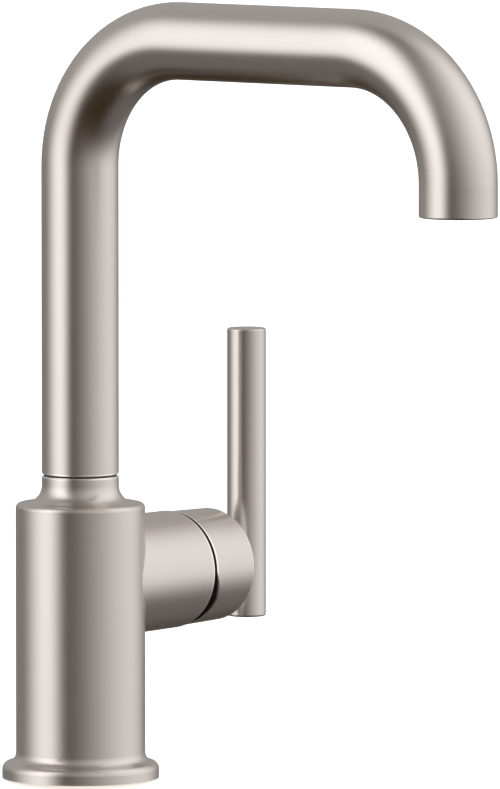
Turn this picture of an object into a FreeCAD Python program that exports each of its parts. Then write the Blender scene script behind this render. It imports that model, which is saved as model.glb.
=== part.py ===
import FreeCAD
import Part
import math
import os

# Gooseneck bar faucet with one side lever, millimetres.
# Frame: +Z up, origin at the centre of the foot on the deck, spout towards -Y, lever towards +X.
# Rest pose: spout straight ahead, lever upright, water off.

# ---- outer form of the body ----
body_radius = 24.0
flange_radius = 29.1
flange_side_top = 5.05          # where the upper rounding of the flange begins
flange_side_bottom = 1.9        # where the bevel below the flange's side begins
flange_upper_rounding = 2.8
flange_lower_bevel = (0.2, 0.45)    # in from the side and down
underside_contact_radius = 24.6     # the underside curls up from the deck outside this
foot_cove_radius = 3.4
shoulder_z = 104.15
shoulder_rounding = 1.9
neck_cove_radius = 6.5
neck_top_z = 114.15
seam_bevel = 0.4

# ---- side boss and valve axis ----
valve_z = 75.05
boss_end_radius = 22.0
boss_root_radius = 22.35
boss_end_x = 53.3
boss_edge_rounding = 0.8
boss_weld_fillet = 0.6
chamber_floor_x = 17.0
chamber_radius = 17.6
nut_thread_radius = 19.0
nut_thread_start_x = 42.0

# ---- water ways and fixings in the body ----
inlet_x = 9.5
inlet_y = 7.5
inlet_thread_radius = 4.46      # M10 x 1, core
inlet_thread_depth = 11.0
inlet_bore_radius = 3.5
stud_x = -10.0
stud_thread_radius = 3.4        # M8, core
stud_thread_depth = 16.0
gasket_groove_inner = 18.8
gasket_groove_outer = 21.8
gasket_groove_depth = 2.5
riser_radius = 4.5
supply_port_radius = 2.6
supply_port_y = 5.5
supply_port_height = 6.0        # above the valve axis
mixed_port_radius = 3.0
mixed_port_drop = 5.0           # below the valve axis
port_overrun = 3.0

# ---- spout tube ----
tube_radius = 14.3
tube_wall = 1.2
washer_thickness = 0.75
bend_radius = 47.5
top_axis_z = 276.8
reach = 174.6
outlet_z = 217.4
outlet_rim_rounding = 0.7

# ---- swivel ----
swivel_bore_radius = 10.0
swivel_depth = 25.65            # of the bore, from the top of the neck
swivel_clearance = 0.05
nipple_foot_gap = 0.4
nipple_bore_radius = 6.5
nipple_plug_length = 14.0
o_ring_section_radius = 0.92
o_ring_groove_width = 2.4
o_ring_drops = (10.15, 5.15)    # below the top of the neck
guide_ring_rise = 2.0           # above the floor of the bore
guide_ring_height = 3.0
guide_ring_thickness = 0.95
retaining_screw_drop = 17.15    # below the top of the neck
retaining_groove_half = 2.2
retaining_groove_depth = 1.7
retaining_screw_radius = 2.5
retaining_screw_length = 12.0
retaining_dog_radius = 1.9
washer_edge_recess = 0.35

# ---- outlet fittings ----
bushing_length = 10.0
bushing_recess = 1.2
aerator_thread_radius = 11.0    # M22
bushing_lip = 1.2
bushing_lip_bore = 8.8
aerator_wall = 1.8
aerator_recess = 0.9
aerator_ledge_width = 0.8
aerator_ledge_height = 1.0
key_slot_width = 2.0
key_slot_depth = 1.0
washer_height = 1.15
honeycomb_height = 3.0
honeycomb_pitch = 2.4
honeycomb_cell_across = 1.8
honeycomb_rings = 3
sieve_height = 1.0
sieve_hole_across = 1.35
sieve_pitch = 2.5
sieve_rings = 3                 # each with six holes more than the one inside it
sieve_rise = 5.2

# ---- mixing cartridge, x measured along the valve axis ----
base_plate_start_x = 17.4
base_plate_end_x = 21.4
base_plate_radius = 17.3
seal_width = 1.4
seal_thickness = 1.9
fixed_disc_radius = 13.8
fixed_disc_end_x = 25.0
disc_film = 0.05
moving_disc_radius = 11.2
moving_disc_end_x = 28.95
window_inner_radius = 5.8
window_outer_radius = 9.8
window_start_angle = 12.0       # from straight up, to each side
window_end_angle = 64.0
mixed_window_radius = 3.6
mixed_window_drop = 4.5
pocket_radius = 5.2
pocket_lobe_radius = 4.2
pocket_lobe_drop = 4.4
pocket_depth = 2.4
driver_plate_end_x = 32.7
driver_block_end_x = 36.1
driver_block_half_width = 8.0
driver_block_half_height = 8.5
ball_x = 33.0
ball_radius = 3.0
socket_clearance = 0.3
carrier_start_x = 33.0
carrier_radius = 13.85
channel_end_x = 36.4
channel_clearance = 0.2
carrier_neck_start_x = 38.0
carrier_neck_radius = 8.95
carrier_end_x = 47.0
stem_slot_half_height = 5.2
stem_slot_clearance = 0.15
pivot_x = 44.0
pin_radius = 1.5
pin_half_length = 8.0
pin_clearance = 0.05
housing_radius = 17.5
housing_cavity_radius = 14.1
housing_cavity_end_x = 38.3
housing_shoulder_x = 42.0
housing_collar_radius = 11.2
housing_end_x = 46.5
bonnet_clearance = 0.05
nut_inner_radius = 11.6
nut_end_x = 49.0
nut_slot_width = 4.0
nut_slot_depth = 2.0
nut_slots = 4
fit_gap = 0.05                  # seated or threaded pieces that do not move

# ---- stem, hub and lever ----
stem_neck_radius = 2.2
stem_radius = 4.2
stem_shoulder_x = 40.0
stem_square = 8.0
stem_square_start_x = 52.0
stem_end_x = 65.5
hub_gap = 1.1
hub_root_radius = 21.6          # at the gap; the hub narrows a little to its end
hub_face_radius = 21.1
hub_end_x = 78.0
hub_wall = 3.0
hub_cavity_end_x = 72.0
hub_edge_rounding = 0.6
relief_depth = 3.6              # of the lower half of the inner edge
relief_height = 10.0            # from the axis down to where the relief is at its full depth
socket_start_x = 57.0
socket_radius = 8.0
square_clearance = 0.05
post_radius = 5.5
post_foot_radius = 7.0
post_foot_depth = 1.0           # let into the end of the hub
post_root_fillet = 1.5
post_seat_depth = 2.6
rod_radius = 7.35
rod_stand_off = 14.75           # from the end of the hub to the side of the rod
rod_bottom_z = 53.6
rod_length = 109.1
rod_end_rounding = 0.8
lever_screw_radius = 2.0        # M4
lever_screw_head_radius = 3.5
lever_screw_head_height = 4.0
lever_screw_bite = 8.0
lever_screw_key = 3.0           # across the flats of its socket
lever_screw_key_depth = 2.0
screw_hole_clearance = 0.15
grub_x = 61.5
grub_radius = 2.5               # M5
grub_length = 5.0
plug_radius = 3.1

overrun = 1.0                   # how far a cutting tool runs past the face that it opens

X = FreeCAD.Vector(1, 0, 0)
Y = FreeCAD.Vector(0, 1, 0)
Z = FreeCAD.Vector(0, 0, 1)

# Places that follow from the sizes above.
foot_tangent_rise = math.sqrt(
    (foot_cove_radius + flange_upper_rounding) ** 2
    - (body_radius + foot_cove_radius - flange_radius + flange_upper_rounding) ** 2
)
tube_bottom_z = neck_top_z + washer_thickness
swivel_floor_z = neck_top_z - swivel_depth
o_ring_heights = [neck_top_z - drop for drop in o_ring_drops]
guide_ring_z = swivel_floor_z + guide_ring_rise
retaining_screw_z = neck_top_z - retaining_screw_drop
tube_bore = tube_radius - tube_wall
nipple_radius = swivel_bore_radius - swivel_clearance
o_ring_groove_bottom = nipple_radius - 2 * o_ring_section_radius
rod_side_x = hub_end_x + rod_stand_off
rod_x = rod_side_x + rod_radius
post_end_x = rod_side_x + post_seat_depth
hub_start_x = boss_end_x + hub_gap
hub_cavity_radius = hub_root_radius - hub_wall
screw_hole_radius = lever_screw_radius + screw_hole_clearance
head_seat_x = stem_end_x + lever_screw_head_height + 2 * fit_gap
bushing_bottom_z = outlet_z + bushing_recess
bushing_top_z = bushing_bottom_z + bushing_length
aerator_top_z = bushing_top_z - bushing_lip - washer_height - 2 * fit_gap
aerator_bottom_z = outlet_z + aerator_recess
aerator_radius = aerator_thread_radius - fit_gap
aerator_bore = aerator_radius - aerator_wall


def on_circle(centre, radius, degrees):
    """A point of a circle in a flat outline."""
    angle = math.radians(degrees)
    return (centre[0] + radius * math.cos(angle), centre[1] + radius * math.sin(angle))


def outline(points, place):
    """A closed face from corner points; a pair of points is an arc's middle and its end."""
    edges = []
    here = points[0]
    for step in points[1:] + [points[0]]:
        if isinstance(step[0], tuple):
            middle, end = step
            edges.append(Part.Arc(place(*here), place(*middle), place(*end)).toShape())
        else:
            end = step
            edges.append(Part.makeLine(place(*here), place(*end)))
        here = end
    return Part.Face(Part.Wire(edges))


def turned(points, centre=(0.0, 0.0)):
    """A solid turned about an upright axis, from points of radius and height."""
    face = outline(points, lambda r, z: FreeCAD.Vector(centre[0] + r, centre[1], z))
    return face.revolve(FreeCAD.Vector(centre[0], centre[1], 0), Z, 360)


def turned_on_valve(points):
    """A solid turned about the valve axis, from points of x and radius."""
    face = outline(points, lambda x, r: FreeCAD.Vector(x, 0, valve_z + r))
    return face.revolve(FreeCAD.Vector(0, 0, valve_z), X, 360)


def ring(inner, outer, z0, z1, centre=(0.0, 0.0)):
    """An upright ring with flat ends."""
    return turned([(inner, z0), (outer, z0), (outer, z1), (inner, z1)], centre)


def ring_on_valve(inner, outer, x0, x1):
    """A ring with flat ends on the valve axis."""
    return turned_on_valve([(x0, inner), (x0, outer), (x1, outer), (x1, inner)])


def rod_between(start, end, radius):
    """A round bar from one point to another."""
    a = FreeCAD.Vector(*start)
    along = FreeCAD.Vector(*end) - a
    return Part.makeCylinder(radius, along.Length, a, along)


def valve_bar(x0, x1, radius, y=0.0, z=None):
    """A round bar along the valve axis, or beside it."""
    height = valve_z if z is None else z
    return rod_between((x0, y, height), (x1, y, height), radius)


def block(low, high):
    """A box between two corners."""
    size = [b - a for a, b in zip(low, high)]
    return Part.makeBox(*size, FreeCAD.Vector(*low))


def hex_recess(across, depth, mouth, into):
    """The tool for a hexagon socket that starts at a mouth and runs inwards."""
    side = FreeCAD.Vector(0, 0, 1) if abs(into.z) < 0.5 else FreeCAD.Vector(1, 0, 0)
    corner = side * (across / math.sqrt(3))
    centre = FreeCAD.Vector(*mouth)
    spin = [FreeCAD.Rotation(into, 60.0 * k) for k in range(7)]
    wire = Part.makePolygon([centre + s.multVec(corner) for s in spin])
    return Part.Face(wire).extrude(into * depth)


def edges_on(shape, test):
    """The edges whose every sampled point passes a test."""
    found = []
    for edge in shape.Edges:
        if all(test(p) for p in edge.discretize(5)):
            found.append(edge)
    return found


def body_outline():
    """Half section of the body's outside, from the deck up to the neck."""
    rounding_centre = (flange_radius - flange_upper_rounding, flange_side_top)
    cove_centre = (body_radius + foot_cove_radius, flange_side_top + foot_tangent_rise)
    rise = cove_centre[1] - rounding_centre[1]
    lean = math.degrees(math.atan2(rise, cove_centre[0] - rounding_centre[0]))
    meeting = on_circle(rounding_centre, flange_upper_rounding, lean)
    shoulder_centre = (body_radius - shoulder_rounding, shoulder_z - shoulder_rounding)
    neck_centre = (tube_radius + neck_cove_radius, shoulder_z + neck_cove_radius)
    curl_end = (flange_radius - flange_lower_bevel[0], flange_side_bottom - flange_lower_bevel[1])
    curl_width = curl_end[0] - underside_contact_radius
    curl_radius = (curl_width ** 2 + curl_end[1] ** 2) / (2 * curl_end[1])
    curl_centre = (underside_contact_radius, curl_radius)
    curl_turn = math.degrees(math.asin(curl_width / curl_radius))
    return [
        (0.0, 0.0),
        (underside_contact_radius, 0.0),
        (on_circle(curl_centre, curl_radius, curl_turn / 2 - 90), curl_end),
        (flange_radius, flange_side_bottom),
        (flange_radius, flange_side_top),
        (on_circle(rounding_centre, flange_upper_rounding, lean / 2), meeting),
        (on_circle(cove_centre, foot_cove_radius, 180 + lean / 2), (body_radius, cove_centre[1])),
        (body_radius, shoulder_centre[1]),
        (on_circle(shoulder_centre, shoulder_rounding, 45), (shoulder_centre[0], shoulder_z)),
        (neck_centre[0], shoulder_z),
        (on_circle(neck_centre, neck_cove_radius, 225), (tube_radius, neck_centre[1])),
        (tube_radius, neck_top_z - seam_bevel),
        (tube_radius - seam_bevel, neck_top_z),
        (0.0, neck_top_z),
    ]


def faucet_body():
    """Brass body: flared foot, barrel, cove and neck, with the side boss joined by a small weld fillet."""
    barrel = turned(body_outline())
    edge_centre = (boss_end_x - boss_edge_rounding, boss_end_radius - boss_edge_rounding)
    boss = turned_on_valve([
        (0.0, 0.0),
        (0.0, boss_root_radius),
        (edge_centre[0], boss_end_radius),
        (on_circle(edge_centre, boss_edge_rounding, 45), (boss_end_x, edge_centre[1])),
        (boss_end_x, 0.0),
    ])
    body = barrel.fuse(boss)

    def on_joint(p):
        on_barrel = abs(math.hypot(p.x, p.y) - body_radius) < 0.02
        return on_barrel and p.x > 1.0 and abs(p.z - valve_z) < boss_root_radius + 0.1

    body = body.makeFillet(boss_weld_fillet, edges_on(body, on_joint))
    chamber = turned_on_valve([
        (chamber_floor_x, 0.0),
        (chamber_floor_x, chamber_radius),
        (nut_thread_start_x, chamber_radius),
        (nut_thread_start_x, nut_thread_radius),
        (boss_end_x + overrun, nut_thread_radius),
        (boss_end_x + overrun, 0.0),
    ])
    mixed_z = valve_z - mixed_port_drop
    supply_z = valve_z + supply_port_height
    cuts = [
        chamber,
        ring(gasket_groove_inner, gasket_groove_outer, -overrun, gasket_groove_depth),
        rod_between((stud_x, 0, -overrun), (stud_x, 0, stud_thread_depth), stud_thread_radius),
        rod_between((0, 0, swivel_floor_z), (0, 0, neck_top_z + overrun), swivel_bore_radius),
        rod_between((0, 0, mixed_z - mixed_port_radius), (0, 0, swivel_floor_z + overrun), riser_radius),
        valve_bar(0, chamber_floor_x + overrun, mixed_port_radius, 0, mixed_z),
        rod_between((0, nipple_radius, retaining_screw_z), (0, body_radius + overrun, retaining_screw_z),
                    retaining_screw_radius),
    ]
    for side in (-1, 1):
        y = side * inlet_y
        port_y = side * supply_port_y
        cuts.append(rod_between((inlet_x, y, -overrun), (inlet_x, y, inlet_thread_depth),
                                inlet_thread_radius))
        cuts.append(rod_between((inlet_x, y, 0), (inlet_x, y, supply_z + port_overrun), inlet_bore_radius))
        cuts.append(valve_bar(inlet_x, chamber_floor_x + overrun, supply_port_radius, port_y, supply_z))
    return body.cut(cuts)


def base_gasket():
    """Rubber ring pressed into the groove in the foot, level with the deck."""
    inner = gasket_groove_inner + fit_gap
    outer = gasket_groove_outer - fit_gap
    return ring(inner, outer, 0, gasket_groove_depth - fit_gap)


def spout_path():
    """Centre line of the gooseneck: up, over in two equal bends, and down to the outlet."""
    bend_z = top_axis_z - bend_radius
    bow = bend_radius * (1 - math.sqrt(0.5))
    at = lambda y, z: FreeCAD.Vector(0, y, z)
    return Part.Wire([
        Part.makeLine(at(0, tube_bottom_z), at(0, bend_z)),
        Part.Arc(at(0, bend_z), at(-bow, top_axis_z - bow), at(-bend_radius, top_axis_z)).toShape(),
        Part.makeLine(at(-bend_radius, top_axis_z), at(bend_radius - reach, top_axis_z)),
        Part.Arc(at(bend_radius - reach, top_axis_z), at(bow - reach, top_axis_z - bow),
                 at(-reach, bend_z)).toShape(),
        Part.makeLine(at(-reach, bend_z), at(-reach, outlet_z)),
    ])


def spout_tube():
    """Bent tube with a bevelled foot and a rounded rim at the outlet."""
    def swept(radius):
        circle = Part.Wire(Part.makeCircle(radius, FreeCAD.Vector(0, 0, tube_bottom_z), Z))
        return spout_path().makePipeShell([circle], True, False)

    tube = swept(tube_radius).cut(swept(tube_bore))

    def outer_edge_at(y, z):
        def test(p):
            return abs(p.z - z) < 0.01 and abs(math.hypot(p.x, p.y - y) - tube_radius) < 0.05
        return test

    tube = tube.makeChamfer(seam_bevel, edges_on(tube, outer_edge_at(0, tube_bottom_z)))
    return tube.makeFillet(outlet_rim_rounding, edges_on(tube, outer_edge_at(-reach, outlet_z)))


def swivel_washer():
    """Acetal washer that the tube turns on, set back a little from the outside."""
    return ring(swivel_bore_radius + 2 * swivel_clearance, tube_radius - washer_edge_recess - seam_bevel,
                neck_top_z + swivel_clearance / 2, tube_bottom_z)


def spout_nipple():
    """Turned insert: its upper end is fixed in the tube, its lower end turns in the neck."""
    foot_z = swivel_floor_z + nipple_foot_gap
    plug_radius_here = tube_bore - fit_gap
    nipple = turned([
        (nipple_bore_radius, foot_z),
        (nipple_radius, foot_z),
        (nipple_radius, tube_bottom_z),
        (plug_radius_here, tube_bottom_z),
        (plug_radius_here, tube_bottom_z + nipple_plug_length),
        (nipple_bore_radius, tube_bottom_z + nipple_plug_length),
    ])
    half = o_ring_groove_width / 2
    grooves = [ring(o_ring_groove_bottom - fit_gap, nipple_radius + overrun, z - half, z + half)
               for z in o_ring_heights]
    groove_z = retaining_screw_z - retaining_groove_half
    grooves.append(ring(nipple_radius - retaining_groove_depth, nipple_radius + overrun,
                        groove_z, groove_z + 2 * retaining_groove_half))
    grooves.append(ring(nipple_radius - guide_ring_thickness - fit_gap, nipple_radius + overrun,
                        guide_ring_z - fit_gap, guide_ring_z + guide_ring_height + fit_gap))
    return nipple.cut(grooves)


def spout_o_rings():
    """Two rubber rings in the nipple's upper grooves, with eight-sided sections."""
    middle = o_ring_groove_bottom + o_ring_section_radius
    corners = [22.5 + 45.0 * k for k in range(8)]
    rings = [turned([on_circle((middle, z), o_ring_section_radius, corner) for corner in corners])
             for z in o_ring_heights]
    return Part.makeCompound(rings)


def spout_guide_ring():
    """Low-friction ring that centres the foot of the nipple."""
    return ring(nipple_radius - guide_ring_thickness, nipple_radius, guide_ring_z,
                guide_ring_z + guide_ring_height)


def spout_retaining_screw():
    """Grub screw in the back of the body; its dog point runs in the nipple's groove."""
    groove_floor = nipple_radius - retaining_groove_depth
    tip_y = groove_floor + 6 * fit_gap
    shank_y = swivel_bore_radius + 6 * fit_gap
    head_y = shank_y + retaining_screw_length
    z = retaining_screw_z
    screw = rod_between((0, tip_y, z), (0, shank_y, z), retaining_dog_radius)
    screw = screw.fuse(rod_between((0, shank_y, z), (0, head_y, z), retaining_screw_radius - fit_gap))
    return screw.cut(hex_recess(retaining_screw_radius, retaining_screw_radius, (0, head_y, z), -Y))


def outlet_bushing():
    """Threaded ring fixed inside the end of the tube, with a lip for the aerator washer."""
    lip_z = bushing_top_z - bushing_lip
    return turned([
        (aerator_thread_radius, bushing_bottom_z),
        (tube_bore - fit_gap, bushing_bottom_z),
        (tube_bore - fit_gap, bushing_top_z),
        (bushing_lip_bore, bushing_top_z),
        (bushing_lip_bore, lip_z),
        (aerator_thread_radius, lip_z),
    ], (0.0, -reach))


def aerator_washer():
    """Rubber washer between the aerator and the lip of the bushing."""
    return ring(bushing_lip_bore, aerator_radius, aerator_top_z + fit_gap,
                aerator_top_z + fit_gap + washer_height, (0.0, -reach))


def aerator_housing():
    """Screw-in shell with a ledge for the honeycomb and two key slots in its rim."""
    ledge_z = aerator_bottom_z + honeycomb_height + 10 * fit_gap
    shell = turned([
        (aerator_bore, aerator_bottom_z),
        (aerator_radius, aerator_bottom_z),
        (aerator_radius, aerator_top_z),
        (aerator_bore, aerator_top_z),
        (aerator_bore, ledge_z + aerator_ledge_height),
        (aerator_bore - aerator_ledge_width, ledge_z + aerator_ledge_height),
        (aerator_bore - aerator_ledge_width, ledge_z),
        (aerator_bore, ledge_z),
    ], (0.0, -reach))
    slot = block((-aerator_radius - overrun, -reach - key_slot_width / 2, aerator_bottom_z - overrun),
                 (aerator_radius + overrun, -reach + key_slot_width / 2, aerator_bottom_z + key_slot_depth))
    return shell.cut(slot)


def aerator_honeycomb():
    """Flow straightener: a disc with hexagon cells in rings about the centre."""
    z0 = aerator_bottom_z + 8 * fit_gap
    disc = rod_between((0, -reach, z0), (0, -reach, z0 + honeycomb_height), aerator_bore - fit_gap)
    cut_height = honeycomb_height + 2 * overrun
    cells = []
    for i in range(-honeycomb_rings, honeycomb_rings + 1):
        for j in range(-honeycomb_rings, honeycomb_rings + 1):
            if abs(i + j) > honeycomb_rings:
                continue
            x = honeycomb_pitch * (i + j / 2)
            y = -reach + honeycomb_pitch * j * math.sqrt(0.75)
            cells.append(hex_recess(honeycomb_cell_across, cut_height, (x, y, z0 - overrun), Z))
    return disc.cut(cells)


def aerator_screen():
    """Sieve plate above the honeycomb with circles of six-sided holes."""
    z0 = aerator_bottom_z + sieve_rise
    disc = rod_between((0, -reach, z0), (0, -reach, z0 + sieve_height), aerator_bore - fit_gap)
    cut_height = sieve_height + 2 * overrun
    holes = []
    for circle in range(1, sieve_rings + 1):
        count = 6 * circle
        for k in range(count):
            x, y = on_circle((0.0, -reach), circle * sieve_pitch, 360.0 * k / count)
            holes.append(hex_recess(sieve_hole_across, cut_height, (x, y, z0 - overrun), Z))
    return disc.cut(holes)


def supply_ports():
    """Centres of the hot and cold ports and of the mixed port in the cartridge's end view: y and z."""
    supply_z = valve_z + supply_port_height
    return [
        (supply_port_y, supply_z, supply_port_radius),
        (-supply_port_y, supply_z, supply_port_radius),
        (0.0, valve_z - mixed_port_drop, mixed_port_radius),
    ]


def cartridge_base():
    """Port plate on the floor of the chamber, recessed for three seals."""
    plate = ring_on_valve(0, base_plate_radius, base_plate_start_x, base_plate_end_x)
    seal_pocket_x = chamber_floor_x + seal_thickness + fit_gap
    cuts = []
    for y, z, r in supply_ports():
        pocket_radius_here = r + seal_width + 2 * fit_gap
        cuts.append(valve_bar(base_plate_start_x - overrun, base_plate_end_x + overrun, r, y, z))
        cuts.append(valve_bar(base_plate_start_x - overrun, seal_pocket_x, pocket_radius_here, y, z))
    return plate.cut(cuts)


def port_seals():
    """Three rubber seals between the port plate and the chamber floor."""
    seals = []
    for y, z, r in supply_ports():
        end_x = chamber_floor_x + seal_thickness
        outer = valve_bar(chamber_floor_x, end_x, r + seal_width, y, z)
        bore = valve_bar(chamber_floor_x - overrun, end_x + overrun, r, y, z)
        seals.append(outer.cut(bore))
    return Part.makeCompound(seals)


def window(side, x0, x1):
    """The tool for one window with a rounded outer side, to one side of straight up."""
    centre = (0.0, valve_z)
    start = 90 - side * window_start_angle
    end = 90 - side * window_end_angle
    middle = (start + end) / 2
    face = outline([
        on_circle(centre, window_inner_radius, start),
        on_circle(centre, window_outer_radius, start),
        (on_circle(centre, window_outer_radius, middle), on_circle(centre, window_outer_radius, end)),
        on_circle(centre, window_inner_radius, end),
    ], lambda y, z: FreeCAD.Vector(x0, y, z))
    return face.extrude(X * (x1 - x0))


def fixed_disc():
    """Lower ceramic disc with hot, cold and mixed windows."""
    start_x = base_plate_end_x + fit_gap
    disc = ring_on_valve(0, fixed_disc_radius, start_x, fixed_disc_end_x)
    mixed_z = valve_z - mixed_window_drop
    cuts = [window(side, start_x - overrun, fixed_disc_end_x + overrun) for side in (-1, 1)]
    cuts.append(valve_bar(start_x - overrun, fixed_disc_end_x + overrun, mixed_window_radius, 0, mixed_z))
    return disc.cut(cuts)


def moving_disc():
    """Upper ceramic disc; its pocket joins the open windows to the mixed window."""
    start_x = fixed_disc_end_x + disc_film
    disc = ring_on_valve(0, moving_disc_radius, start_x, moving_disc_end_x)
    pocket_x = start_x + pocket_depth
    lobe_z = valve_z - pocket_lobe_drop
    pocket = valve_bar(start_x - overrun, pocket_x, pocket_radius)
    lobe = valve_bar(start_x - overrun, pocket_x, pocket_lobe_radius, 0, lobe_z)
    return disc.cut(pocket.fuse(lobe))


def disc_driver():
    """Slider behind the moving disc: a plate, a guide block and the socket for the stem's ball."""
    start_x = moving_disc_end_x + fit_gap
    plate = ring_on_valve(0, moving_disc_radius, start_x, driver_plate_end_x)
    half = driver_block_half_width
    guide = block((driver_plate_end_x - overrun, -half, valve_z - driver_block_half_height),
                  (driver_block_end_x, half, valve_z + driver_block_half_height))
    socket_radius_here = ball_radius + socket_clearance
    socket = valve_bar(ball_x - socket_radius_here, driver_block_end_x + overrun, socket_radius_here)
    return plate.fuse(guide).cut(socket)


def stem_carrier():
    """Rotor: its flange guides the slider in a channel, its neck turns in the bonnet and holds the pin."""
    rotor = turned_on_valve([
        (carrier_start_x, 0.0),
        (carrier_start_x, carrier_radius),
        (carrier_neck_start_x, carrier_radius),
        (carrier_neck_start_x, carrier_neck_radius),
        (carrier_end_x, carrier_neck_radius),
        (carrier_end_x, 0.0),
    ])
    half_channel = driver_block_half_width + channel_clearance
    channel = block((carrier_start_x - overrun, -half_channel, valve_z - carrier_radius - overrun),
                    (channel_end_x, half_channel, valve_z + carrier_radius + overrun))
    half_slot = stem_radius + stem_slot_clearance
    slot = block((carrier_start_x, -half_slot, valve_z - stem_slot_half_height),
                 (carrier_end_x + overrun, half_slot, valve_z + stem_slot_half_height))
    return rotor.cut([channel, slot, pivot_pin()])


def pivot_pin():
    """Steel pin pressed into the rotor; the stem tilts on it."""
    ends = [(pivot_x, side * pin_half_length, valve_z) for side in (-1, 1)]
    return rod_between(*ends, pin_radius)


def cartridge_stem():
    """Lever stem: ball end in the slider, eye on the pin, square end in the hub."""
    half = stem_square / 2
    stem = Part.makeSphere(ball_radius, FreeCAD.Vector(ball_x, 0, valve_z))
    neck = valve_bar(ball_x, stem_shoulder_x + overrun, stem_neck_radius)
    shank = valve_bar(stem_shoulder_x, stem_square_start_x + overrun, stem_radius)
    square = block((stem_square_start_x, -half, valve_z - half), (stem_end_x, half, valve_z + half))
    eye = rod_between((pivot_x, -stem_radius - overrun, valve_z), (pivot_x, stem_radius + overrun, valve_z),
                      pin_radius + pin_clearance)
    return stem.fuse([neck, shank, square]).cut(eye)


def cartridge_housing():
    """Cartridge shell over the discs and the rotor, ending in the bonnet's collar."""
    hole = carrier_neck_radius + bonnet_clearance
    return turned_on_valve([
        (base_plate_end_x + fit_gap, housing_cavity_radius),
        (base_plate_end_x + fit_gap, housing_radius),
        (housing_shoulder_x, housing_radius),
        (housing_shoulder_x, housing_collar_radius),
        (housing_end_x, housing_collar_radius),
        (housing_end_x, hole),
        (housing_cavity_end_x, hole),
        (housing_cavity_end_x, housing_cavity_radius),
    ])


def cartridge_nut():
    """Ring nut that presses the cartridge home, with spanner slots in its outer face."""
    nut_radius = nut_thread_radius - 2 * fit_gap
    nut = ring_on_valve(nut_inner_radius, nut_radius, nut_thread_start_x + fit_gap, nut_end_x)
    slots = []
    for k in range(nut_slots):
        slot = block((nut_end_x - nut_slot_depth, -nut_slot_width / 2, valve_z),
                     (nut_end_x + overrun, nut_slot_width / 2, valve_z + nut_thread_radius + overrun))
        slots.append(slot.rotate(FreeCAD.Vector(0, 0, valve_z), X, 45 + 360.0 * k / nut_slots))
    return nut.cut(slots)


def relief_tool():
    """The wedge below the axis that lets the hub tilt towards the boss."""
    far = hub_root_radius + overrun
    near_x = hub_start_x - overrun
    full_x = hub_start_x + relief_depth
    face = outline([
        (near_x, valve_z),
        (hub_start_x, valve_z),
        (full_x, valve_z - relief_height),
        (full_x, valve_z - far),
        (near_x, valve_z - far),
    ], lambda x, z: FreeCAD.Vector(x, -far, z))
    return face.extrude(Y * (2 * far))


def hub_outside(x):
    """Radius of the hub's outside at a place along the valve axis."""
    share = (x - hub_start_x) / (hub_end_x - hub_start_x)
    return hub_root_radius + share * (hub_face_radius - hub_root_radius)


def handle_hub():
    """Turned hub: open shell with a square socket inside and a seat for the lever's post in its end."""
    hub = turned_on_valve([
        (socket_start_x, 0.0),
        (socket_start_x, socket_radius),
        (hub_cavity_end_x, socket_radius),
        (hub_cavity_end_x, hub_cavity_radius),
        (hub_start_x, hub_cavity_radius),
        (hub_start_x, hub_root_radius),
        (hub_end_x, hub_face_radius),
        (hub_end_x, 0.0),
    ])
    hub = hub.cut(relief_tool())

    def on_rim(p):
        return abs(math.hypot(p.y, p.z - valve_z) - hub_outside(p.x)) < 0.02

    hub = hub.makeFillet(hub_edge_rounding, edges_on(hub, on_rim))
    half = stem_square / 2 + square_clearance
    head_radius = lever_screw_head_radius + screw_hole_clearance
    plug_hole_z = valve_z - hub_cavity_radius + overrun
    outside_z = valve_z - hub_root_radius - overrun
    return hub.cut([
        block((socket_start_x - overrun, -half, valve_z - half),
              (stem_end_x + fit_gap, half, valve_z + half)),
        valve_bar(stem_end_x, head_seat_x, head_radius),
        valve_bar(head_seat_x - overrun, hub_end_x + overrun, screw_hole_radius),
        valve_bar(hub_end_x - post_foot_depth, hub_end_x + overrun, post_foot_radius + fit_gap),
        rod_between((grub_x, 0, valve_z), (grub_x, 0, valve_z - socket_radius - overrun), grub_radius),
        rod_between((grub_x, 0, plug_hole_z), (grub_x, 0, outside_z), plug_radius),
    ])


def lever_post():
    """Turned post: its foot sits in the end of the hub, its other end in the side of the rod."""
    foot_x = hub_end_x - post_foot_depth + fit_gap
    cove_centre = (hub_end_x + post_root_fillet, post_radius + post_root_fillet)
    return turned_on_valve([
        (foot_x, screw_hole_radius),
        (foot_x, post_foot_radius),
        (hub_end_x, post_foot_radius),
        (on_circle(cove_centre, post_root_fillet, 225), (hub_end_x + post_root_fillet, post_radius)),
        (post_end_x, post_radius),
        (post_end_x, screw_hole_radius),
    ])


def hub_set_screw():
    """Grub screw that clamps the hub on the stem's square."""
    top_z = valve_z - stem_square / 2
    screw = rod_between((grub_x, 0, top_z), (grub_x, 0, top_z - grub_length), grub_radius - fit_gap)
    return screw.cut(hex_recess(grub_radius, grub_radius, (grub_x, 0, top_z - grub_length), Z))


def set_screw_plug():
    """Plug in the hole under the hub, level with the hub's outside."""
    top_z = valve_z - hub_cavity_radius
    outside_z = valve_z - hub_root_radius - overrun
    plug = rod_between((grub_x, 0, top_z), (grub_x, 0, outside_z), plug_radius - fit_gap)
    cone = turned_on_valve([
        (hub_start_x, 0.0),
        (hub_start_x, hub_root_radius - fit_gap),
        (hub_end_x, hub_face_radius - fit_gap),
        (hub_end_x, 0.0),
    ])
    return plug.common(cone)


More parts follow.
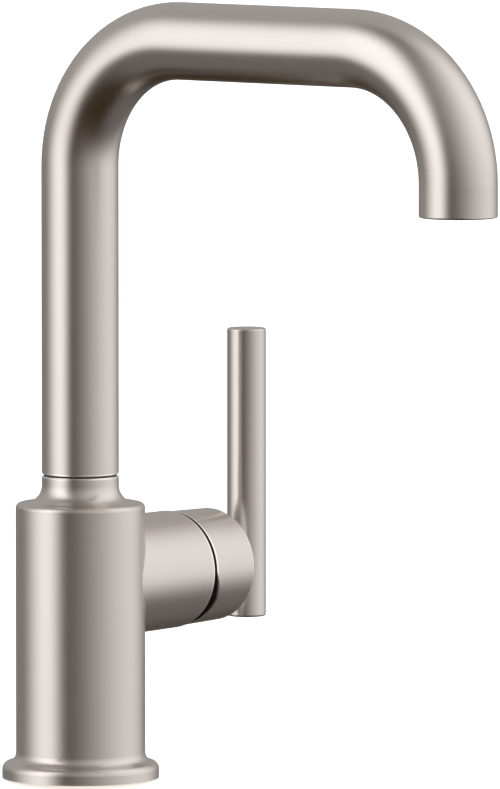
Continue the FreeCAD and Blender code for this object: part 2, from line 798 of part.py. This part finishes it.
def lever_rod():
    """Upright round lever with eased ends, drilled on one side for the post and its screw."""
    rod = rod_between((rod_x, 0, rod_bottom_z), (rod_x, 0, rod_bottom_z + rod_length), rod_radius)
    rod = rod.makeFillet(rod_end_rounding, edges_on(rod, lambda p: min(
        abs(p.z - rod_bottom_z), abs(p.z - rod_bottom_z - rod_length)) < 0.01))
    seat = valve_bar(rod_side_x - overrun, post_end_x + fit_gap, post_radius + fit_gap)
    screw_end_x = post_end_x + lever_screw_bite
    tapped = valve_bar(rod_side_x, screw_end_x + overrun, lever_screw_radius + fit_gap)
    return rod.cut([seat, tapped])


def lever_screw():
    """Socket screw through the hub's end and the post into the rod."""
    head_start = head_seat_x - lever_screw_head_height
    head = valve_bar(head_start, head_seat_x, lever_screw_head_radius)
    shank = valve_bar(head_seat_x - overrun, post_end_x + lever_screw_bite, lever_screw_radius)
    key = hex_recess(lever_screw_key, lever_screw_key_depth, (head_start, 0, valve_z), X)
    return head.fuse(shank).cut(key)


NODES = [
    faucet_body, base_gasket,
    spout_tube, swivel_washer, spout_nipple, spout_o_rings, spout_guide_ring, spout_retaining_screw,
    outlet_bushing, aerator_washer, aerator_housing, aerator_honeycomb, aerator_screen,
    cartridge_base, port_seals, fixed_disc, moving_disc, disc_driver,
    stem_carrier, pivot_pin, cartridge_stem, cartridge_housing, cartridge_nut,
    handle_hub, hub_set_screw, set_screw_plug, lever_post, lever_rod, lever_screw,
]

os.makedirs("parts", exist_ok=True)
for make in NODES:
    shape = make()
    shape.exportStep(os.path.join("parts", make.__name__ + ".step"))
    print(f"{make.__name__}: {len(shape.Solids)} solid(s), {shape.Volume:.1f} mm3, valid {shape.isValid()}")
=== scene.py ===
import math

import bmesh
import bpy
from mathutils import Matrix, Vector


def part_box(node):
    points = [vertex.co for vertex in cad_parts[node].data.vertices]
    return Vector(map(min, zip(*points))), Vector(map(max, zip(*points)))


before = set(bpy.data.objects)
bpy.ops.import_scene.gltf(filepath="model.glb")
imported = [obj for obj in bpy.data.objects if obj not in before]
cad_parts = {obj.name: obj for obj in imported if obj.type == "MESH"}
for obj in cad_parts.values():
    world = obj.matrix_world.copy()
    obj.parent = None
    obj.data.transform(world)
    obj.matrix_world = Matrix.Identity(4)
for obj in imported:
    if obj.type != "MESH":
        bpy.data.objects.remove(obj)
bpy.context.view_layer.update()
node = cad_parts


# ---- the photographer's place ----
# A long lens about four metres off, a little above the work top, so the upright lines stay upright.
camera_azimuth = math.radians(-52.085)
camera_height = math.radians(4.957)
camera_distance = 4.0818
aim = Vector((0, 0, 0.15125))
slide_right = 0.06283
slide_up = -0.00698

back = Vector((math.sin(camera_azimuth) * math.cos(camera_height),
               -math.cos(camera_azimuth) * math.cos(camera_height),
               math.sin(camera_height)))
right = Vector((math.cos(camera_azimuth), math.sin(camera_azimuth), 0))
up = back.cross(right)
camera = bpy.data.objects.new("camera", bpy.data.cameras.new("camera"))
camera.data.lens = 503.34
camera.data.clip_end = 60
camera.matrix_world = Matrix.Translation(
    aim + back * camera_distance + right * slide_right + up * slide_up
) @ Matrix((right, up, back)).transposed().to_4x4()
bpy.context.scene.collection.objects.link(camera)
bpy.context.scene.camera = camera
bpy.context.scene.view_settings.view_transform = "Standard"


def linear(hex_colour):
    """An sRGB hex colour as linear RGBA."""
    channels = [int(hex_colour[k:k + 2], 16) / 255 for k in (0, 2, 4)]
    return [c / 12.92 if c <= 0.04045 else ((c + 0.055) / 1.055) ** 2.4 for c in channels] + [1]


def add(tree, kind, settings=None, links=None):
    """Adds a node, with its own settings, its input values and the sockets that feed it."""
    made = tree.nodes.new(kind)
    for name, value in (settings or {}).items():
        if isinstance(name, str) and hasattr(made, name):
            setattr(made, name, value)
        else:
            made.inputs[name].default_value = value
    for name, socket in (links or {}).items():
        tree.links.new(socket, made.inputs[name])
    return made


# ---- the studio ----
# A tent of soft panels round the work top: a tall softbox on the left, a broad one on the right, a dim cloth
# behind, a dark gap ahead of the lever and a dark table below. They were placed so that the bands on the
# metal match the photograph's, then set in round numbers. The real studio is unknown. Angles are in degrees.
world = bpy.data.worlds.new("studio tent")
bpy.context.scene.world = world
world.use_nodes = True
tree = world.node_tree
tree.nodes.clear()
axes = add(tree, "ShaderNodeSeparateXYZ", links={0: add(tree, "ShaderNodeTexCoord").outputs["Generated"]})


def arithmetic(tree, operation, *inputs):
    """One step of arithmetic on sockets and plain numbers."""
    made = add(tree, "ShaderNodeMath", {"operation": operation})
    for k, value in enumerate(inputs):
        if isinstance(value, (int, float)):
            made.inputs[k].default_value = value
        else:
            tree.links.new(value, made.inputs[k])
    return made.outputs[0]


def soft_step(tree, value, nothing, full):
    """Rises smoothly from 0 to 1 between two angles in degrees, or falls where nothing comes after full."""
    rising = nothing < full
    low, high = sorted((math.radians(nothing), math.radians(full)))
    return add(tree, "ShaderNodeMapRange",
               {"interpolation_type": "SMOOTHSTEP", 1: low, 2: high, 3: float(not rising), 4: float(rising)},
               {0: value}).outputs[0]


elevation = arithmetic(tree, "ARCSINE", axes.outputs["Z"])


def panel(centre, *edges):
    """How much of a panel a direction sees. An edge is two angles: where the light is nothing, and full."""
    turn = math.radians(centre)
    x, y = axes.outputs["X"], axes.outputs["Y"]
    across = arithmetic(tree, "SUBTRACT", arithmetic(tree, "MULTIPLY", y, math.cos(turn)),
                        arithmetic(tree, "MULTIPLY", x, math.sin(turn)))
    ahead = arithmetic(tree, "ADD", arithmetic(tree, "MULTIPLY", x, math.cos(turn)),
                       arithmetic(tree, "MULTIPLY", y, math.sin(turn)))
    azimuth = arithmetic(tree, "ARCTAN2", across, ahead)
    amount = 1.0
    for value, edge in zip((azimuth, azimuth, elevation, elevation), edges):
        amount = arithmetic(tree, "MULTIPLY", amount, soft_step(tree, value, *edge))
    return amount


# each light: its brightness and tint, and how much of it a direction sees
lights = [
    (1.5, "fafcff", panel(150, (-60, 5), (45, 10), (-25, -5), (75, 35))),       # tall softbox on the left
    (1.0, "fafcff", panel(-45, (-140, 5), (60, 5), (-35, 0), (120, 40))),       # broad panel on the right
    (0.27, "fafcff", panel(60, (-100, -60), (65, 25), (-40, 10), (100, 80))),   # cloth behind
    (0.15, "eef3ff", panel(-60, (-65, 15), (100, 55), (-100, -55), (5, -35))),  # its glow on the table
    (0.17, "eef3ff", panel(150, (-70, -40), (30, -5), (-90, -55), (-10, -30))), # and on the left
    (0.16, "fafcff", soft_step(tree, elevation, -15, 30)),      # the room above the table
    (0.044, "ffd090", 1.0),                                     # and the dark table
]
total = None
for strength, tint, seen in lights:
    colour = [strength * channel for channel in linear(tint)[:3]]
    lit = add(tree, "ShaderNodeVectorMath", {"operation": "SCALE", 0: colour})
    if isinstance(seen, float):
        lit.inputs["Scale"].default_value = seen
    else:
        tree.links.new(seen, lit.inputs["Scale"])
    if total is None:
        total = lit.outputs[0]
    else:
        total = add(tree, "ShaderNodeVectorMath", {"operation": "ADD"},
                    {0: total, 1: lit.outputs[0]}).outputs[0]
studio = add(tree, "ShaderNodeBackground", links={"Color": total})
backdrop = add(tree, "ShaderNodeBackground", {"Color": (1, 1, 1, 1), "Strength": 1.0})
camera_ray = add(tree, "ShaderNodeLightPath").outputs["Is Camera Ray"]
shown = add(tree, "ShaderNodeMixShader", links={0: camera_ray, 1: studio.outputs[0], 2: backdrop.outputs[0]})
add(tree, "ShaderNodeOutputWorld", links={0: shown.outputs[0]})

# Pale work top, plain paper that keeps a soft shadow. The metal doesn't mirror it.
table_half = 30
sheet = bpy.data.meshes.new("work_top")
shape = bmesh.new()
bmesh.ops.create_grid(shape, x_segments=1, y_segments=1, size=table_half)
shape.to_mesh(sheet)
shape.free()
work_top = bpy.data.objects.new("work_top", sheet)
bpy.context.scene.collection.objects.link(work_top)
work_top.visible_glossy = False
paper = bpy.data.materials.new("white paper sweep")
paper.use_nodes = True
tree = paper.node_tree
tree.nodes.clear()
fibre = add(tree, "ShaderNodeTexNoise", {"Scale": 900, "Detail": 2},
            {"Vector": add(tree, "ShaderNodeTexCoord").outputs["Object"]})
tone = add(tree, "ShaderNodeMix", {"data_type": "RGBA", 6: linear("f6f6f4"), 7: linear("fafaf8")},
           {0: fibre.outputs[0]})
lit = add(tree, "ShaderNodeBsdfDiffuse", links={0: tone.outputs[2]})
glow = add(tree, "ShaderNodeEmission", {"Color": (1, 1, 1, 1), "Strength": 0.62})
both = add(tree, "ShaderNodeAddShader", links={0: lit.outputs[0], 1: glow.outputs[0]})
add(tree, "ShaderNodeOutputMaterial", links={0: both.outputs[0]})
sheet.materials.append(paper)

# Round of the same paper just under the work top, hidden from the camera. Only the foot's underside mirrors
# it, which keeps the foot's lower edge light.
round_radius = 0.031
round_depth = 0.0001
round_mesh = bpy.data.meshes.new("paper_round")
shape = bmesh.new()
bmesh.ops.create_circle(shape, cap_ends=True, segments=64, radius=round_radius,
                        matrix=Matrix.Translation((0, 0, -round_depth)))
shape.to_mesh(round_mesh)
shape.free()
paper_round = bpy.data.objects.new("paper_round", round_mesh)
bpy.context.scene.collection.objects.link(paper_round)
paper_round.visible_camera = False
paper_round.visible_diffuse = False
paper_round.visible_shadow = False
round_mesh.materials.append(paper)

overhead = bpy.data.objects.new("overhead", bpy.data.lights.new("overhead", "SUN"))
overhead.data.energy = 0.9
overhead.data.angle = math.radians(70)
overhead.rotation_euler = (math.radians(18), math.radians(-12), 0)
overhead.visible_glossy = False
bpy.context.scene.collection.objects.link(overhead)


# ---- faucet_body ----
# One brass casting, turned and bored, with the side boss joined on. It is brushed round each axis with a fine
# belt and plated with satin nickel, which is warm grey, mirror-like round the axis and soft along it. The gap
# between boss and hub is painted dark as shade, and the rims are painted lighter as highlights; both are
# chosen to match the photograph, and run all the way round.
nickel_light = linear("dcd5cf")
nickel_dark = linear("d8d0c9")
# a lighter nickel for the rims and edges: a painted highlight
painted_highlight_nickel = linear("fbf7f4")
# near black for the gap between boss and hub: painted shade
gap_shade_colour = linear("1c1713")
valve_height = 0.07505
boss_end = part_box("faucet_body")[1][0]
neck_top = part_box("faucet_body")[1][2]
hub_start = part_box("handle_hub")[0][0]
hub_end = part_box("handle_hub")[1][0]
hub_floor = 0.0725          # how far the hub is hollow
shaded_radius = 0.0211      # the painted shade inside boss and hub reaches out to this radius
upright = (0, 0, 1)
along_valve = (1, 0, 0)


def vector(tree, operation, *inputs, out="Vector"):
    """One step of vector arithmetic on sockets, plain vectors and a scale."""
    made = add(tree, "ShaderNodeVectorMath", {"operation": operation})
    for k, value in enumerate(inputs):
        if isinstance(value, tuple):
            made.inputs[k].default_value = value
        elif isinstance(value, float):
            made.inputs["Scale"].default_value = value
        else:
            tree.links.new(value, made.inputs[k])
    return made.outputs[out]


def in_space(tree, value, start, end):
    """A direction taken from the object's own space to the world's, or back."""
    return add(tree, "ShaderNodeVectorTransform",
               {"vector_type": "VECTOR", "convert_from": start, "convert_to": end}, {0: value}).outputs[0]


def turned_about(centre, axis):
    """The lay of a piece brushed while it turns: lines run round the axis, reflections spread across them."""
    def lay(tree, place, normal):
        arm = vector(tree, "SUBTRACT", place, centre)
        round_axis = vector(tree, "CROSS_PRODUCT", axis, arm)
        spread = vector(tree, "CROSS_PRODUCT", normal, round_axis)
        height = vector(tree, "DOT_PRODUCT", arm, axis, out="Value")
        across = vector(tree, "LENGTH", round_axis, out="Value")
        return add(tree, "ShaderNodeCombineXYZ", links={0: height, 1: across}).outputs[0], spread
    return lay


def band(tree, value, low, high, soft=0.0001):
    """1 between two places and 0 outside them, with soft edges."""
    rise = add(tree, "ShaderNodeMapRange", {1: low - soft, 2: low + soft}, {0: value}).outputs[0]
    fall = add(tree, "ShaderNodeMapRange", {1: high - soft, 2: high + soft, 3: 1.0, 4: 0.0},
               {0: value}).outputs[0]
    return arithmetic(tree, "MULTIPLY", rise, fall)


def valve_place(tree, place):
    """Place along the valve axis, and distance from it."""
    arm = vector(tree, "SUBTRACT", vector(tree, "MULTIPLY", place, (0, 1, 1)), (0, 0, valve_height))
    along = add(tree, "ShaderNodeSeparateXYZ", links={0: place}).outputs[0]
    return along, vector(tree, "LENGTH", arm, out="Value")


def painted_gap_shade(tree, place):
    """Painted shade in the gap: the facing sides of boss and hub, and all that lies behind the gap between
    them, are painted dark.
    """
    along, radius = valve_place(tree, place)
    behind = arithmetic(tree, "MULTIPLY", band(tree, along, boss_end - 0.0006, hub_floor),
                        band(tree, radius, -0.001, shaded_radius))
    mouth = arithmetic(tree, "MULTIPLY", band(tree, along, boss_end - 0.0003, hub_start + 0.00035, 0.00005),
                       band(tree, radius, 0.020, 0.030))
    return arithmetic(tree, "MAXIMUM", behind, mouth)


def body_edge_highlight(tree, place):
    """The rounded edges of the boss and of the neck, given a polish and painted lighter as a highlight."""
    along, radius = valve_place(tree, place)
    boss = arithmetic(tree, "MULTIPLY", band(tree, along, boss_end - 0.0012, boss_end - 0.0002),
                      band(tree, radius, 0.020, 0.023))
    height = add(tree, "ShaderNodeSeparateXYZ", links={0: place}).outputs[2]
    return arithmetic(tree, "MAXIMUM", boss, band(tree, height, neck_top - 0.00065, neck_top + 0.00035))


def hub_rim_highlight(tree, place):
    """The rounded rims of the hub, given a polish and painted lighter as a highlight."""
    along = valve_place(tree, place)[0]
    return arithmetic(tree, "MAXIMUM", band(tree, along, hub_start + 0.0003, hub_start + 0.0012),
                      band(tree, along, hub_end - 0.0007, hub_end + 0.001))


def satin_nickel(name, lay, bare=None, edges=None):
    """Satin nickel plate. lay gives a coordinate across the brush lines and the way reflections spread.
    bare tells where a dark painted shade replaces the plate, and edges where the plate gets a lower roughness
    and a lighter colour that is a painted highlight."""
    material = bpy.data.materials.new(name)
    material.use_nodes = True
    tree = material.node_tree
    tree.nodes.clear()
    place = add(tree, "ShaderNodeTexCoord").outputs["Object"]
    normal = in_space(tree, add(tree, "ShaderNodeNewGeometry").outputs["Normal"], "WORLD", "OBJECT")
    brush, spread = lay(tree, place, normal)
    # brush lines 0.3 mm apart and 40 mm long: real ones are about 0.1 mm apart, which is too fine to show
    fine = vector(tree, "SCALE", brush, 3300.0)
    long = vector(tree, "SCALE", place, 25.0)
    lines = add(tree, "ShaderNodeTexNoise", {"Scale": 1.0, "Detail": 2.0, "Roughness": 0.6},
                {"Vector": vector(tree, "ADD", fine, long)}).outputs[0]
    # the plate clouds a little over about 12 mm
    clouds = add(tree, "ShaderNodeTexNoise", {"Scale": 85.0, "Detail": 2.0}, {"Vector": place}).outputs[0]
    shade = arithmetic(tree, "ADD", arithmetic(tree, "MULTIPLY", lines, 0.6),
                      arithmetic(tree, "MULTIPLY", clouds, 0.4))
    colour = add(tree, "ShaderNodeMix", {"data_type": "RGBA", 6: nickel_dark, 7: nickel_light}, {0: shade})
    rough = add(tree, "ShaderNodeMapRange", {1: 0.3, 2: 0.7, 3: 0.27, 4: 0.31}, {0: shade})
    relief = add(tree, "ShaderNodeBump", {"Strength": 0.008, "Distance": 0.00005}, {"Height": lines})
    # on the edges a lower roughness for the polish, and a lighter colour that is a painted highlight
    if edges:
        polish_and_highlight = edges(tree, place)
        colour = add(tree, "ShaderNodeMix", {"data_type": "RGBA", 7: painted_highlight_nickel},
                     {0: polish_and_highlight, 6: colour.outputs[2]})
        rough = add(tree, "ShaderNodeMix", {3: 0.2}, {0: polish_and_highlight, 2: rough.outputs[0]})
    plate = add(tree, "ShaderNodeBsdfPrincipled", {"Metallic": 1.0, "Anisotropic": 0.2},
                {"Base Color": colour.outputs[2], "Roughness": rough.outputs[0], "Normal": relief.outputs[0],
                 "Tangent": in_space(tree, spread, "OBJECT", "WORLD")})
    surface = plate.outputs[0]
    # a dark, dull shader mixed in over the gap: painted shade
    if bare:
        gap_shade_shader = add(tree, "ShaderNodeBsdfPrincipled",
                      {"Base Color": gap_shade_colour, "Roughness": 0.8, "Specular IOR Level": 0.15})
        surface = add(tree, "ShaderNodeMixShader",
                      links={0: bare(tree, place), 1: surface, 2: gap_shade_shader.outputs[0]}).outputs[0]
    add(tree, "ShaderNodeOutputMaterial", links={0: surface})
    return material


def body_lay(tree, place, normal):
    """Lines round the barrel's axis, and round the valve's axis on the boss."""
    barrel = turned_about((0, 0, 0), upright)(tree, place, normal)
    boss = turned_about((0, 0, valve_height), along_valve)(tree, place, normal)
    parts = add(tree, "ShaderNodeSeparateXYZ", links={0: place})
    level = vector(tree, "MULTIPLY", place, (1, 1, 0))
    off_axis = vector(tree, "LENGTH", level, out="Value")
    on_boss = arithmetic(tree, "MULTIPLY", arithmetic(tree, "GREATER_THAN", off_axis, 0.0246),
                        arithmetic(tree, "GREATER_THAN", parts.outputs[2], 0.02))
    return [add(tree, "ShaderNodeMix", {"data_type": "VECTOR"}, {0: on_boss, 4: a, 5: b}).outputs[1]
            for a, b in zip(barrel, boss)]


def finish_with(material, *names):
    """Gives carried-over nodes their material."""
    for name in names:
        mesh = node[name].data
        mesh.materials.clear()
        mesh.materials.append(material)


# painted shade in the gap, painted highlights on the boss and neck rims
finish_with(satin_nickel("satin nickel on the body", body_lay, painted_gap_shade, body_edge_highlight), "faucet_body")

# ---- spout_tube ----
# Drawn brass tube, bent on a mandrel, belt-brushed round its section and plated with the same satin nickel.
reach = 0.1746
bend_radius = 0.0475
bend_centres = (bend_radius - reach, -bend_radius)
bend_height = 0.2293
tube_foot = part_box("spout_tube")[0][2]
outlet_height = 0.2174


def tube_lay(tree, place, normal):
    """Lines run round the tube wherever its centre line goes."""
    # the nearest point of the line between the bends, or of the legs below it
    nearest = vector(tree, "MINIMUM", vector(tree, "MAXIMUM", place, (0, bend_centres[0], -1)),
                     (0, bend_centres[1], bend_height))
    arm = vector(tree, "MULTIPLY", vector(tree, "SUBTRACT", place, nearest), (0, 1, 1))
    spread = vector(tree, "CROSS_PRODUCT", along_valve, arm)
    sides = add(tree, "ShaderNodeSeparateXYZ", links={0: arm})
    turn = arithmetic(tree, "ARCTAN2", sides.outputs[1], sides.outputs[2])
    along_bend = arithmetic(tree, "MULTIPLY", turn, bend_radius)
    near = add(tree, "ShaderNodeSeparateXYZ", links={0: nearest})
    brush = add(tree, "ShaderNodeCombineXYZ",
                links={0: along_bend, 1: near.outputs[1], 2: near.outputs[2]}).outputs[0]
    return brush, spread


def tube_edge_highlight(tree, place):
    """The bevel at the foot of the tube and the rim of the outlet, given a polish and painted lighter as a
    highlight.
    """
    parts = add(tree, "ShaderNodeSeparateXYZ", links={0: place})
    foot = band(tree, parts.outputs[2], tube_foot - 0.0009, tube_foot + 0.0006)
    at_outlet = band(tree, parts.outputs[1], -0.2, -0.15)
    rim = arithmetic(tree, "MULTIPLY", at_outlet,
                     band(tree, parts.outputs[2], outlet_height - 0.0004, outlet_height + 0.0007))
    return arithmetic(tree, "MAXIMUM", foot, rim)


# painted highlights on the foot bevel and the outlet rim
finish_with(satin_nickel("satin nickel on the spout", tube_lay, edges=tube_edge_highlight), "spout_tube")

# ---- handle_hub, lever_post and lever_rod ----
# The hub and post are turned brass and the lever is brass bar, each brushed round its own axis and plated.
lever_axis = 0.1001
# painted shade in the gap and painted highlights on the hub's rims, on hub and post alike
on_valve_axis = satin_nickel("satin nickel on the hub", turned_about((0, 0, valve_height), along_valve),
                             painted_gap_shade, hub_rim_highlight)
finish_with(on_valve_axis, "handle_hub", "lever_post")
finish_with(satin_nickel("satin nickel on the lever", turned_about((lever_axis, 0, 0), upright)), "lever_rod")


# ---- swivel_washer, set_screw_plug and the cartridge's rotor and slider ----
# Injection-moulded acetal filled with carbon black: dark, a little glossy, with a fine moulded texture.
def plain_stuff(name, light, dark, grain, roughness, metallic=0.0, depth=0.00002):
    """A material of one colour, varied a little by noise. grain is the size of its marks in metres."""
    material = bpy.data.materials.new(name)
    material.use_nodes = True
    tree = material.node_tree
    tree.nodes.clear()
    place = add(tree, "ShaderNodeTexCoord").outputs["Object"]
    marks = add(tree, "ShaderNodeTexNoise", {"Scale": 1 / grain, "Detail": 3.0}, {"Vector": place}).outputs[0]
    colour = add(tree, "ShaderNodeMix", {"data_type": "RGBA", 6: linear(dark), 7: linear(light)}, {0: marks})
    rough = add(tree, "ShaderNodeMapRange", {1: 0.3, 2: 0.7, 3: roughness - 0.05, 4: roughness + 0.05},
                {0: marks})
    relief = add(tree, "ShaderNodeBump", {"Strength": 0.3, "Distance": depth}, {"Height": marks})
    stuff = add(tree, "ShaderNodeBsdfPrincipled", {"Metallic": metallic},
                {"Base Color": colour.outputs[2], "Roughness": rough.outputs[0], "Normal": relief.outputs[0]})
    add(tree, "ShaderNodeOutputMaterial", links={0: stuff.outputs[0]})
    return material


finish_with(plain_stuff("moulded black acetal", "2b2927", "1f1d1c", 0.0004, 0.45),
            "swivel_washer", "set_screw_plug", "stem_carrier", "disc_driver")

# ---- base_gasket, port_seals, spout_o_rings and aerator_washer ----
# Moulded nitrile rubber: near black, dull, with a fine matt bloom.
finish_with(plain_stuff("moulded nitrile rubber", "262626", "181818", 0.0003, 0.72),
            "base_gasket", "port_seals", "spout_o_rings", "aerator_washer")

# ---- aerator_housing, aerator_honeycomb and spout_guide_ring ----
# Moulded natural acetal: off-white, waxy, smooth.
finish_with(plain_stuff("moulded white acetal", "e4e2da", "d8d6ce", 0.0006, 0.38),
            "aerator_housing", "aerator_honeycomb", "spout_guide_ring")

# ---- aerator_screen, retaining screw, set screw, lever screw, pivot pin and stem ----
# Stainless steel, punched, turned or ground: cool grey with short tool marks.
finish_with(plain_stuff("machined stainless steel", "c9cac9", "b0b1b0", 0.0005, 0.28, metallic=1.0),
            "aerator_screen", "spout_retaining_screw", "hub_set_screw", "lever_screw", "pivot_pin",
            "cartridge_stem")

# ---- spout_nipple, outlet_bushing and cartridge_nut ----
# Turned brass left bare: yellow, with fine turning marks.
finish_with(plain_stuff("turned bare brass", "d3b574", "b99655", 0.0004, 0.30, metallic=1.0),
            "spout_nipple", "outlet_bushing", "cartridge_nut")

# ---- cartridge_base and cartridge_housing ----
# Moulded glass-filled polymer: pale grey with faint flow marks.
finish_with(plain_stuff("moulded glass-filled polymer", "c2c4c6", "aeb0b2", 0.0012, 0.5),
            "cartridge_base", "cartridge_housing")

# ---- fixed_disc and moving_disc ----
# Lapped alumina ceramic: creamy white, very smooth, glassy at a low angle.
finish_with(plain_stuff("lapped alumina ceramic", "ebe7dc", "dfdacd", 0.0009, 0.15),
            "fixed_disc", "moving_disc")
